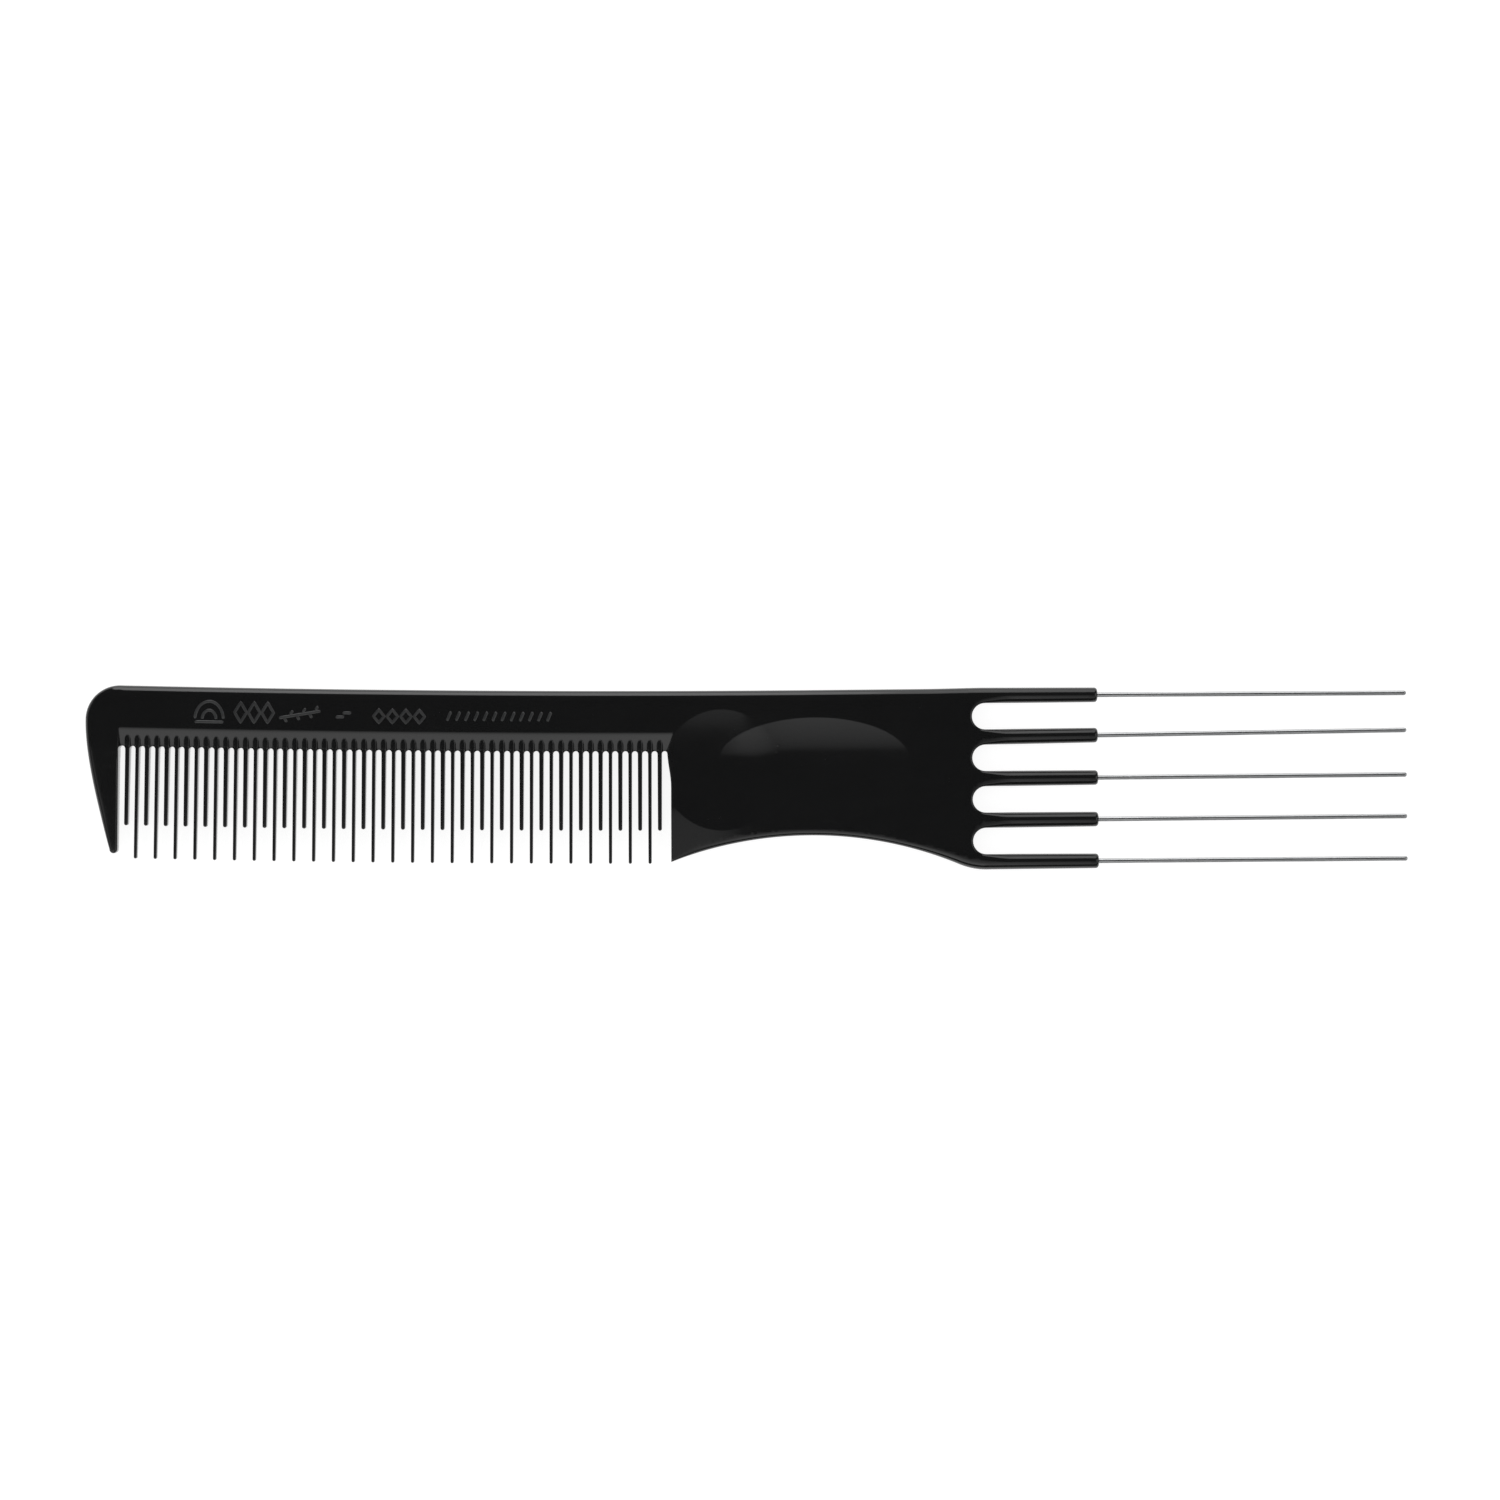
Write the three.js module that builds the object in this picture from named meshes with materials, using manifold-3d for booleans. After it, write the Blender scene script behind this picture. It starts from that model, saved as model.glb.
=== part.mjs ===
// Teasing and lift comb: one moulded body with two lengths of teeth, and five steel lift pins set into its fork.
// Millimetres. The comb lies flat, Z up. X runs along the fork and its pins, Y points from the teeth to the spine.
// The outline is laid out straight as (u, v), along and across the comb, and bend() gives the head its gentle bow.
import * as THREE from "three";
import { mergeVertices } from "three/addons/utils/BufferGeometryUtils.js";
import Module from "manifold-3d";

// Overall
const length = 210;
const thickness = 4;
const face = thickness / 2;
const bowRadius = 3400; // the head curves on this radius, spine side inwards
const bowStart = 12; // from here to the pins the comb is straight
const edgeChamfer = 0.45;

// Spine and tooth field
const spineTop = 13.75;
const flankTop = 6.9; // where the flat spine face turns down to the roots of the teeth
const gapTop = 4.15;
const flankSlope = 0.4;
const guardInner = -99.8;
const handleEdge = -11.95;
const pocketEnd = -11.4;

// Teeth, short and long in turn
const toothCount = 55;
const toothPitch = 1.5674;
const firstTooth = -98.37;
const shortTooth = { tip: -8.5, rootWidth: 0.7, tipWidth: 0.61 };
const longTooth = { tip: -13.75, rootWidth: 0.57, tipWidth: 0.5 };
const toothRootFace = 1.5; // half thickness where a tooth leaves the flank
const toothTipFace = 0.6;
const toothPoint = 0.8; // length of the tapered tip

// Guard tooth at the free end
const guardCorner = { u: -99.7, v: 8.25, radius: 5.5 };
const guardWaist = { u: -105.2, v: 1.75 };
const guardTip = { u: -100.26, v: -12.36, radius: 0.66 };

// Handle
const archCentre = 10;
const archTop = -9.4;
const archRadius = 61;
const archEnd = 34;
const dish = { u: 10.9, v: 2.15, halfLength: 15.4, halfHeight: 7.2, depth: 0.6 };
const thumbRest = { u: -3.9, v: 1.2, halfLength: 9.4, halfHeight: 9.6, depth: 0.37 };
const taperStart = 20; // the handle thins from here to the fork
const forkFace = 1.4;

// Fork
const forkMiddle = -0.62;
const prongPitch = 6.61;
const slotBottom = 36;
const prongRoot = { u: 37.2, radius: 1.25 };
const prongTip = { u: 55.95, radius: 1.17, round: 0.4 };
const prongSet = [-0.2, 0.4, 0, 0, -0.1]; // degrees that each prong and its pin stand off the axis
const slotRadius = prongPitch / 2 - prongRoot.radius;

// Pins
const pinRadius = 0.4;
const pinEmbedded = 15.5;
const boreClearance = 0.05;
const grooveDepth = 0.1;
const grooveWidth = 0.8;
const grooveAt = [2.5, 4.5];
const pinSides = 16;

const bottomPoint = forkMiddle - 2 * prongPitch - prongRoot.radius;
const frame = { x: 0, y: 0 };

// Where a point of the straight layout lies on the bowed comb.
function bend(u, v) {
  if (u >= bowStart) return new THREE.Vector2(u - frame.x, v - frame.y);
  const angle = (bowStart - u) / bowRadius;
  const reach = bowRadius - v;
  return new THREE.Vector2(
    bowStart - reach * Math.sin(angle) - frame.x,
    bowRadius - reach * Math.cos(angle) - frame.y,
  );
}

// The origin is the middle of the comb's length and height, so the frame is set from the outline's own limits.
const leftEnd = bend(guardWaist.u, guardCorner.v).x;
frame.x = leftEnd + length / 2;
frame.y = (bend(guardCorner.u, spineTop).y + bottomPoint) / 2;
const pinEnd = length / 2 + frame.x;

const wasm = await Module();
wasm.setup();

function solidOf(geometry) {
  const bare = geometry.clone();
  bare.deleteAttribute("normal");
  bare.deleteAttribute("uv");
  const merged = mergeVertices(bare, 1e-4);
  return new wasm.Manifold(
    new wasm.Mesh({
      numProp: 3,
      vertProperties: new Float32Array(merged.attributes.position.array),
      triVerts: new Uint32Array(merged.index.array),
    }),
  );
}

function geometryOf(solid) {
  const mesh = solid.getMesh();
  const geometry = new THREE.BufferGeometry();
  geometry.setAttribute("position", new THREE.BufferAttribute(mesh.vertProperties, 3));
  geometry.setIndex(new THREE.BufferAttribute(mesh.triVerts, 1));
  return geometry;
}

// A closed body through a row of convex sections, each a list of points in the same order.
function loft(sections) {
  const count = sections[0].length;
  const positions = sections.flat().flatMap((p) => [p.x, p.y, p.z]);
  const index = [];
  for (let s = 0; s + 1 < sections.length; s++) {
    for (let i = 0; i < count; i++) {
      const a = s * count + i;
      const b = s * count + ((i + 1) % count);
      index.push(a, b, b + count, a, b + count, a + count);
    }
  }
  const last = (sections.length - 1) * count;
  for (let i = 1; i + 1 < count; i++) {
    index.push(0, i + 1, i);
    index.push(last, last + i, last + i + 1);
  }
  const geometry = new THREE.BufferGeometry();
  geometry.setAttribute("position", new THREE.Float32BufferAttribute(positions, 3));
  geometry.setIndex(index);
  const solid = solidOf(geometry);
  if (solid.volume() > 0) return solid;
  for (let i = 0; i < index.length; i += 3) [index[i + 1], index[i + 2]] = [index[i + 2], index[i + 1]];
  geometry.setIndex(index);
  return solidOf(geometry);
}

// The plate's outline in the straight layout: spine, guard tooth, handle and the roots of the prongs.
function outline() {
  const path = new THREE.Path();
  const prongLine = slotBottom + slotRadius;
  path.moveTo(prongLine, spineTop);
  path.lineTo(bowStart, spineTop);
  path.lineTo(guardCorner.u, spineTop);
  path.absarc(guardCorner.u, guardCorner.v, guardCorner.radius, Math.PI / 2, Math.PI, false);
  const tipSide = guardTip.u - guardTip.radius;
  path.quadraticCurveTo(guardWaist.u, guardWaist.v, tipSide, guardTip.v);
  path.absarc(guardTip.u, guardTip.v, guardTip.radius, Math.PI, 2 * Math.PI, false);
  path.lineTo(guardInner, gapTop);
  path.lineTo(handleEdge, gapTop);
  const archMiddle = archTop - archRadius;
  const archAngle = (u) => Math.acos((u - archCentre) / archRadius);
  path.absarc(archCentre, archMiddle, archRadius, archAngle(handleEdge), archAngle(archEnd), true);
  path.quadraticCurveTo(slotBottom, bottomPoint, prongLine, bottomPoint);
  for (let slot = 3; slot >= 0; slot--) {
    const middle = forkMiddle + (1.5 - slot) * prongPitch;
    path.absarc(prongLine, middle, slotRadius, -Math.PI / 2, -1.5 * Math.PI, true);
  }
  return path.getPoints(8);
}

// The long edges of the bowed head get points between their ends; the straight part needs none.
function bowed(points, step = 9) {
  const found = [];
  points.forEach((from, i) => {
    const to = points[(i + 1) % points.length];
    const along = Math.abs(to.x - from.x);
    const parts = Math.max(from.x, to.x) > bowStart ? 1 : Math.max(1, Math.ceil(along / step));
    for (let k = 0; k < parts; k++) {
      const p = from.clone().lerp(to, k / parts);
      const q = bend(p.x, p.y);
      if (!found.length || found.at(-1).distanceTo(q) > 1e-3) found.push(q);
    }
  });
  if (found[0].distanceTo(found.at(-1)) < 1e-3) found.pop();
  return found;
}

function plate() {
  const shape = new THREE.Shape(bowed(outline()));
  const geometry = new THREE.ExtrudeGeometry(shape, {
    depth: thickness - 2 * edgeChamfer,
    bevelEnabled: true,
    bevelThickness: edgeChamfer,
    bevelSize: edgeChamfer * 0.8,
    bevelOffset: -edgeChamfer * 0.8,
    bevelSegments: 1,
    curveSegments: 1,
  });
  geometry.translate(0, 0, edgeChamfer - face);
  return solidOf(geometry);
}

// What is cut from one face so that the spine slopes down to the roots of the teeth.
function flankCut(side) {
  const low = gapTop - 1;
  const deep = face - flankSlope * (flankTop - low);
  const above = face + 1;
  const stations = 12;
  const sections = [];
  for (let s = 0; s <= stations; s++) {
    const u = THREE.MathUtils.lerp(guardInner, pocketEnd, s / stations);
    const corners = [
      [flankTop, face],
      [low, deep],
      [low, above],
      [flankTop + (above - face) / flankSlope, above],
    ];
    sections.push(
      corners.map(([v, z]) => {
        const p = bend(u, v);
        return new THREE.Vector3(p.x, p.y, side * z);
      }),
    );
  }
  return loft(sections);
}

// What is cut from one face so that the handle thins towards the fork.
function taperCut(side) {
  const high = spineTop + 2;
  const low = bottomPoint - 2;
  const above = face + 1;
  const profile = [
    [taperStart, face],
    [slotBottom, forkFace],
    [slotBottom + 10, forkFace],
    [slotBottom + 10, above],
    [taperStart, above],
  ];
  return loft(
    [low, high].map((v) =>
      profile.map(([u, z]) => {
        const p = bend(u, v);
        return new THREE.Vector3(p.x, p.y, side * z);
      }),
    ),
  );
}

// A shallow bowl with an oval rim in one face, for the thumb.
function bowlCut(side, bowl) {
  const rings = 5;
  const profile = [];
  for (let i = 0; i <= rings; i++) {
    const r = i / rings;
    profile.push(new THREE.Vector2(r, -bowl.depth * (1 - r * r)));
  }
  profile.push(new THREE.Vector2(1.0 + 1 / (2 * rings), 1), new THREE.Vector2(0, 1));
  const geometry = new THREE.LatheGeometry(profile, 48);
  geometry.rotateX(Math.PI / 2);
  geometry.scale(bowl.halfLength, bowl.halfHeight, 1);
  geometry.translate(0, 0, face);
  if (side < 0) geometry.rotateX(Math.PI);
  const middle = bend(bowl.u, bowl.v);
  geometry.translate(middle.x, middle.y, 0);
  return solidOf(geometry);
}

// One tooth: an eight-sided blade, thick at the root, with a short tapered point.
function tooth(number) {
  const kind = number % 2 ? longTooth : shortTooth;
  const u = firstTooth + number * toothPitch;
  const rootLine = flankTop - 0.9;
  const stations = [
    { v: rootLine, width: kind.rootWidth, half: toothRootFace },
    { v: kind.tip + toothPoint, width: kind.tipWidth, half: toothTipFace },
    { v: kind.tip, width: kind.tipWidth * 0.4, half: toothTipFace * 0.5 },
  ];
  return loft(
    stations.map(({ v, width, half }) => {
      const w = width / 2;
      const ring = [
        [w, 0.6], [0.4 * w, 1], [-0.4 * w, 1], [-w, 0.6],
        [-w, -0.6], [-0.4 * w, -1], [0.4 * w, -1], [w, -0.6],
      ];
      return ring.map(([du, share]) => {
        const p = bend(u + du, v);
        return new THREE.Vector3(p.x, p.y, share * half);
      });
    }),
  );
}

// Turns a lathe body made along +Y so that it runs along X, standing off the axis by the prong's own set.
function alongProng(geometry, number) {
  const root = bend(prongRoot.u, forkMiddle + (2 - number) * prongPitch);
  geometry.rotateZ(-Math.PI / 2);
  geometry.rotateZ(THREE.MathUtils.degToRad(prongSet[number]));
  geometry.translate(root.x, root.y, 0);
  return geometry;
}

function prong(number) {
  const span = prongTip.u - prongRoot.u;
  const profile = [
    [0, -1],
    [prongRoot.radius, -1],
    [prongRoot.radius, 0],
    [prongTip.radius, span - prongTip.round],
    [prongTip.radius - prongTip.round * 0.3, span - prongTip.round * 0.3],
    [prongTip.radius - prongTip.round, span],
    [0, span],
  ].map(([r, y]) => new THREE.Vector2(r, y));
  return solidOf(alongProng(new THREE.LatheGeometry(profile, 24), number));
}

function bore(number) {
  const mouth = prongTip.u - prongRoot.u;
  const bottom = mouth - pinEmbedded - boreClearance;
  const radius = pinRadius + boreClearance;
  const profile = [[0, bottom], [radius, bottom], [radius, mouth + 1], [0, mouth + 1]];
  const points = profile.map(([r, y]) => new THREE.Vector2(r, y));
  return solidOf(alongProng(new THREE.LatheGeometry(points, pinSides), number));
}

// A steel pin: two retaining grooves near its buried end, a plain shank, and a domed tip.
function pin(number) {
  const buried = prongTip.u - prongRoot.u - pinEmbedded;
  const tip = pinEnd - prongRoot.u;
  const profile = [[0, buried], [pinRadius, buried]];
  for (const along of grooveAt) {
    const near = buried + along;
    const far = near + grooveWidth;
    profile.push([pinRadius, near], [pinRadius - grooveDepth, near + grooveDepth]);
    profile.push([pinRadius - grooveDepth, far - grooveDepth], [pinRadius, far]);
  }
  const domeSteps = 4;
  for (let i = 0; i <= domeSteps; i++) {
    const angle = (i / domeSteps) * (Math.PI / 2);
    const radius = i === domeSteps ? 0 : pinRadius * Math.cos(angle);
    profile.push([radius, tip - pinRadius + pinRadius * Math.sin(angle)]);
  }
  const points = profile.map(([r, y]) => new THREE.Vector2(r, y));
  return alongProng(new THREE.LatheGeometry(points, pinSides), number);
}

function body() {
  let solid = plate();
  for (const side of [1, -1]) {
    solid = solid.subtract(flankCut(side)).subtract(taperCut(side));
    solid = solid.subtract(bowlCut(side, dish)).subtract(bowlCut(side, thumbRest));
  }
  for (let i = 0; i < toothCount; i++) solid = solid.add(tooth(i));
  for (let i = 0; i < prongSet.length; i++) solid = solid.add(prong(i)).subtract(bore(i));
  return geometryOf(solid);
}

const plastic = new THREE.MeshStandardMaterial({ color: 0x0b0b0c, roughness: 0.22, metalness: 0 });
const steel = new THREE.MeshStandardMaterial({ color: 0xb9bbbd, roughness: 0.25, metalness: 1 });

const comb = new THREE.Group();
comb.position.z = face;

const combBody = new THREE.Mesh(body(), plastic);
combBody.name = "comb_body";
comb.add(combBody);

for (let i = 0; i < prongSet.length; i++) {
  const mesh = new THREE.Mesh(pin(i), steel);
  mesh.name = `lift_pin_${i + 1}`;
  comb.add(mesh);
}

export default comb;
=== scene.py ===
import math

import bpy
import numpy as np
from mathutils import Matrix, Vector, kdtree
from mathutils.geometry import delaunay_2d_cdt


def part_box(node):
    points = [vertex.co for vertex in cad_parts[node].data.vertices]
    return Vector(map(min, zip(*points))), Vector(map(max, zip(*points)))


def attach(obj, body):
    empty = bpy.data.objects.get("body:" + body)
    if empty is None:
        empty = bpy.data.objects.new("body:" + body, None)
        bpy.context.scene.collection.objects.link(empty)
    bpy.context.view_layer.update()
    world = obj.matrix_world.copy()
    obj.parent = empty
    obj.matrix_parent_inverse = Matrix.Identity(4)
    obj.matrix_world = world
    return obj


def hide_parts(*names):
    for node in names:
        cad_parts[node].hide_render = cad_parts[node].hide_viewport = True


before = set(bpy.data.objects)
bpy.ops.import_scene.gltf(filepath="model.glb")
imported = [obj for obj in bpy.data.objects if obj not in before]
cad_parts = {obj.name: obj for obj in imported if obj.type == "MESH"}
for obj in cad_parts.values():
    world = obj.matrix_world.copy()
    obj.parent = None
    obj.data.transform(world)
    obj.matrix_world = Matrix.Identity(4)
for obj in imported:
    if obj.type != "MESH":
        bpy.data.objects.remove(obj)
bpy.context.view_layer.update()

mm = 0.001
bodyLow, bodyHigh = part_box("comb_body")
midPlane = (bodyLow.z + bodyHigh.z) / 2 / mm
pinCount = sum(name.startswith("lift_pin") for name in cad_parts)

# The comb is laid out straight in millimetres, u along it and v across, then bent to its bow.
comb = {
    "faceHalf": 1.875,  # half thickness of the flat spine, under the raised ornament
    "bowRadius": 3400,
    "bowStart": 12,
    "spineTop": 13.75,
    "spineEnds": (37.9, -99.2),
    "spineRise": (28, 38),  # where the top edge steps over to the first prong
    "spineRound": 1.2,
    "forkEase": (24, 37),  # where the edges take the prongs' roundness
    "flankTop": 6.9,
    "flankSlope": 0.4,
    "flankSoft": 0.02,
    "pocketSlope": 4,  # the steep ends of the sloping flank
    "inset": 0.03,  # the moulding stays this far inside the solid model's edge
    "insetFull": 0.45,  # where the edge's rounding is at least this; the teeth have no inset
    "witness": 0.018,  # how far the fine line stands out where the mould halves met
    "gapTop": 4.15,
    "guardInner": -99.8,
    "guardCorner": (-99.7, 8.25, 5.5),  # middle and radius
    "guardWaist": (-105.2, 1.75),
    "guardTip": (-100.26, -12.36, 0.66),
    "guardRound": (0.9, 1.05, 0.45),  # edge rounding at the waist, at the spine and at the tip
    "guardInnerRound": 0.36,
    "guardEase": ((-105, -100), (-12.5, -6), (1, 3.2)),  # over the corner, the back and the inner side
    "guardThin": 0.5,  # lost from the half thickness towards the tip
    "guardThinFrom": 4,
    "guardThinOver": 17,
    "handleEdge": -11.95,
    "edgeFlare": 0.5775,  # how far the handle's edge leans over the last tooth at its root
    "pocketFlare": 0.55,
    "edgeLean": (-1.5, 4.3),
    "edgeTop": 3.35,
    "edgeRound": 0.3,
    "edgeEase": (0, 3.3),
    "pocketLean": 0.28,
    "pocketLow": 3.7,
    "archTop": -9.4,
    "archCentre": 10,
    "archRadius": 61,
    "archEnd": 34,
    "archRound": 0.8,
    "wedgeFrom": -20,
    "wedgeTop": -4.7,  # below this the handle's toothed corner thins
    "wedgeSlope": 0.06,
    "wedgeSoft": 0.8,
    "wedgeFade": (-7, 6),
}

teeth = {
    "count": 55,
    "pitch": 1.5674,
    "first": -98.37,
    "tip": (-8.5, -13.75),  # short, long
    "rootWidth": (0.7, 0.57),
    "tipWidth": (0.61, 0.5),
    "rootHalf": 1.46,
    "tipHalf": (0.95, 0.78),
    "rootLine": 5.3,
    "rootV": 3.65,  # where a tooth's side meets the round of the gap
    "round": 0.16,
    "freeBelow": 3.6,  # under this a tooth stands clear of the flank
    "sideBlend": 0.03,
    "ribHalf": 0.42,  # above the gaps each tooth runs out into the flank as a broader rib
    "ribStart": (3.7, 4.4),
    "ribEnd": (5.1, 6.1),
    "ribTaper": 0.45,
}

fork = {
    "middle": -0.62,
    "pitch": 6.61,
    "slotBottom": 36,
    "taper": (20, 38),  # the handle thins between these
    "root": (37.2, 1.25),  # place and radius
    "tip": (55.95, 1.17),
    "tipRound": 0.5,
    "straightFrom": 38.6,
    "slotRound": 0.38,
    "roundEase": (36.5, 42),  # between these the edges grow to fully round prongs
    "flat": 0.03,  # left between the rounded edges of a prong
    "set": (-0.2, 0.4, 0, 0, -0.1),  # degrees each prong stands off the axis
}

# Shallow bowls in each face: middle, half length, half height, depth, and where the rim fades out
# (for the dish that is past its end, so its rim stays crisp).
bowls = {
    "dish": (10.9, 2.15, 15.4, 7.2, 0.6, (40, 41)),
    "thumbRest": (-3.9, 1.2, 9.4, 9.6, 0.37, (-1.5, 3.5)),
}

# How finely the moulding is meshed.
detail = {
    "rings": 6,  # rows of points round each edge
    "ringTurn": (90.0, 84.0),  # degrees, on the comb and on the fork
    "forkFrom": 35.5,
    "probe": 0.2,  # how far inside the edge the face's height is read
    "leastRim": (0.03, 0.02),  # thickness kept beside and under a rounded edge
    "spine": 190,
    "guardCorner": 26,
    "guardBack": 28,
    "guardTip": 12,
    "guardInner": 22,
    "gap": 10,
    "endGap": 18,
    "toothSide": (11, 15),
    "toothTip": 8,
    "handleEdge": 20,
    "arch": 56,
    "forkCorner": 8,
    "slot": 18,
    "prong": 20,
    "prongEnd": (18, 36, 54, 72, 90),
    "bowlRim": 141,
    "flankLines": (0.45, 0.3, 0.15, 0.0, -0.15, -0.3, -0.45),  # beside the crease at the flank's top
    "pocketLines": (-0.35, 0.0, 0.12, 0.5, 0.88, 1.0, 1.35),  # shares of the width of the steep ends
    "bowlLines": (0.985, 1.0, 1.015),
    "ribLines": ((0, 0), (0.45, 0), (0.78, 0), (0.94, 0), (1, 0.035), (1, 0.1)),  # share, and beyond it
    "ribTop": 6.2,
    "lineClear": 0.035,  # millimetres that inner points keep from the edge, and from the crease lines
    "gridClear": 0.3,
    "gridFromLines": 0.16,
}

# Fields of evenly spread points inside the face: left, right, low, high, spacing.
faceGrids = {
    "spine": (-104, -12.5, 7.3, 12.3, 1.0),
    "guard": (-104, -100.2, -12, 7.3, 0.8),
    "flank": (-99.4, -13, 5.7, 6.75, 0.45),
    "handle": (-12.3, 28, -13, 12.3, 0.5),
    "forkRoot": (28, 37.5, -15, 12.3, 0.7),
}

prongAxes = [fork["middle"] + (2 - i) * fork["pitch"] for i in range(pinCount)]
prongRound = fork["root"][1] - fork["flat"]
bottomPoint = prongAxes[-1] - fork["root"][1]


def bendPlain(u, v):
    turn = np.maximum(comb["bowStart"] - u, 0) / comb["bowRadius"]
    reach = comb["bowRadius"] - v
    x = np.where(turn > 0, comb["bowStart"] - reach * np.sin(turn), u)
    y = np.where(turn > 0, comb["bowRadius"] - reach * np.cos(turn), v)
    return x, y


# The layout's shift to the frame comes from the CAD body's own low corner.
leftEnd = bendPlain(np.array([comb["guardWaist"][0]]), np.array([comb["guardCorner"][1]]))[0]
shiftX = float(leftEnd[0]) - bodyLow.x / mm
shiftY = bottomPoint - bodyLow.y / mm


def place(u, v):
    # Prongs and pins lean by their own set, and the head takes its bow.
    u, v = np.asarray(u, float), np.asarray(v, float)
    nearest = np.clip(np.rint((prongAxes[0] - v) / fork["pitch"]), 0, pinCount - 1).astype(int)
    lean = np.tan(np.radians(np.array(fork["set"])))[nearest]
    x, y = bendPlain(u, v + np.maximum(u - fork["root"][0], 0) * lean)
    return x - shiftX, y - shiftY


def ease(low, high, x):
    t = np.clip((x - low) / (high - low), 0, 1)
    return t * t * (3 - 2 * t)


def softRamp(x, soft):
    return (x + np.sqrt(x ** 2 + soft)) / 2


def toothShape(kind, v):
    # Half width and half thickness of a short (0) or long (1) tooth at one height.
    along = (teeth["rootLine"] - v) / (teeth["rootLine"] - np.array(teeth["tip"])[kind])
    root, tip = np.array(teeth["rootWidth"])[kind], np.array(teeth["tipWidth"])[kind]
    halfWidth = (root + (tip - root) * np.clip(along, 0, 1)) / 2
    halfWidth = halfWidth + (teeth["ribHalf"] - halfWidth) * ease(*teeth["ribStart"], v)
    halfWidth = halfWidth * (1 - teeth["ribTaper"] * ease(*teeth["ribEnd"], v))
    half = teeth["rootHalf"] + (np.array(teeth["tipHalf"])[kind] - teeth["rootHalf"]) * along
    return halfWidth, half


def pocketEnd(v):
    # The handle's end of the sloping flank.
    lean = comb["pocketLean"] * np.maximum(v - comb["pocketLow"], 0)
    return comb["handleEdge"] - comb["pocketFlare"] + lean


def plainFace(u, v):
    # Half thickness of the comb without its teeth and flank.
    face = comb["faceHalf"] + (fork["root"][1] - comb["faceHalf"]) * ease(*fork["taper"], u)
    for u0, v0, a, b, deep, fade in bowls.values():
        bowl = np.maximum(1 - ((u - u0) / a) ** 2 - ((v - v0) / b) ** 2, 0)
        face = face - deep * bowl * (1 - (1 - bowl) * ease(*fade, u))
    wedge = softRamp(comb["wedgeTop"] - v, comb["wedgeSoft"]) * comb["wedgeSlope"]
    wedge = wedge * (1 - ease(*comb["wedgeFade"], u))
    face = face - np.where(u > comb["wedgeFrom"], wedge, 0)
    thin = comb["guardThin"] * np.clip((comb["guardThinFrom"] - v) / comb["guardThinOver"], 0, 1)
    return face - np.where(u < comb["guardInner"] + 0.3, thin, 0)


def faceHeight(u, v):
    # Half thickness of the moulding, before its edges are rounded over.
    u, v = np.asarray(u, float), np.asarray(v, float)
    face = plainFace(u, v)
    number = np.rint((u - teeth["first"]) / teeth["pitch"])
    number = np.clip(number, 0, teeth["count"] - 1).astype(int)
    off = np.abs(u - teeth["first"] - number * teeth["pitch"])
    halfWidth, half = toothShape(number % 2, v)
    shoulder = np.clip(off - halfWidth + teeth["round"], 0, teeth["round"])
    # A rib's rounded shoulder stops just short of upright.
    rib = half - teeth["round"] + np.sqrt(teeth["round"] ** 2 - 0.9 * shoulder ** 2)
    sunk = comb["flankSlope"] * softRamp(comb["flankTop"] - v, comb["flankSoft"])
    ends = comb["pocketSlope"] * np.minimum(u - comb["guardInner"], pocketEnd(v) - u)
    flank = comb["faceHalf"] - np.minimum(np.maximum(ends, 0), sunk)
    onTooth = 1 - ease(-teeth["sideBlend"], teeth["sideBlend"], off - halfWidth)
    free = (v < teeth["freeBelow"]) & (onTooth > 0.5)
    field = np.where(free, half, flank + np.maximum(rib - flank, 0) * onTooth)
    inPocket = (ends > 0) & (v < comb["flankTop"] + 0.5)
    return np.where(inPocket, np.minimum(field, face), face)


def arcPoints(u, v, radius, start, stop, steps, first=0, last=0):
    turns = [math.radians(start + (stop - start) * i / steps) for i in range(first, steps + 1 - last)]
    return [(u + radius * math.cos(t), v + radius * math.sin(t)) for t in turns]


def curvePoints(start, waist, end, steps, count):
    # The first points of a curve that sets off towards waist and comes from it to end.
    shares = [i / steps for i in range(1, count + 1)]
    weights = [((1 - t) ** 2, 2 * t * (1 - t), t * t) for t in shares]
    return [tuple(p * a + q * b + r * c for a, b, c in zip(start, waist, end)) for p, q, r in weights]


def graded(axis, start, stop, first, last):
    # A rounding that eases from first to last as u (axis 0) or v (axis 1) goes from start to stop.
    def rounding(*point):
        return first + (last - first) * float(ease(start, stop, point[axis]))
    return rounding


def prongRadius(u):
    (rootU, rootR), (tipU, tipR) = fork["root"], fork["tip"]
    share = np.clip((u - rootU) / (tipU - rootU), 0, 1)
    radius = rootR + (tipR - rootR) * share
    back = np.clip(u - (tipU - fork["tipRound"]), 0, fork["tipRound"])
    return radius - fork["tipRound"] + np.sqrt(fork["tipRound"] ** 2 - back ** 2)


def prongStations():
    tipU, tipRound = fork["tip"][0], fork["tipRound"]
    straight = list(np.linspace(fork["straightFrom"], tipU - tipRound, detail["prong"]))
    return straight + [tipU - tipRound * (1 - math.sin(math.radians(a))) for a in detail["prongEnd"]]


def prongEdge(u, v=0):
    # The rounding of a prong's edge, smallest in the slot.
    full = float(prongRadius(u)) - fork["flat"]
    return fork["slotRound"] + (full - fork["slotRound"]) * float(ease(*fork["roundEase"], u))


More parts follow.
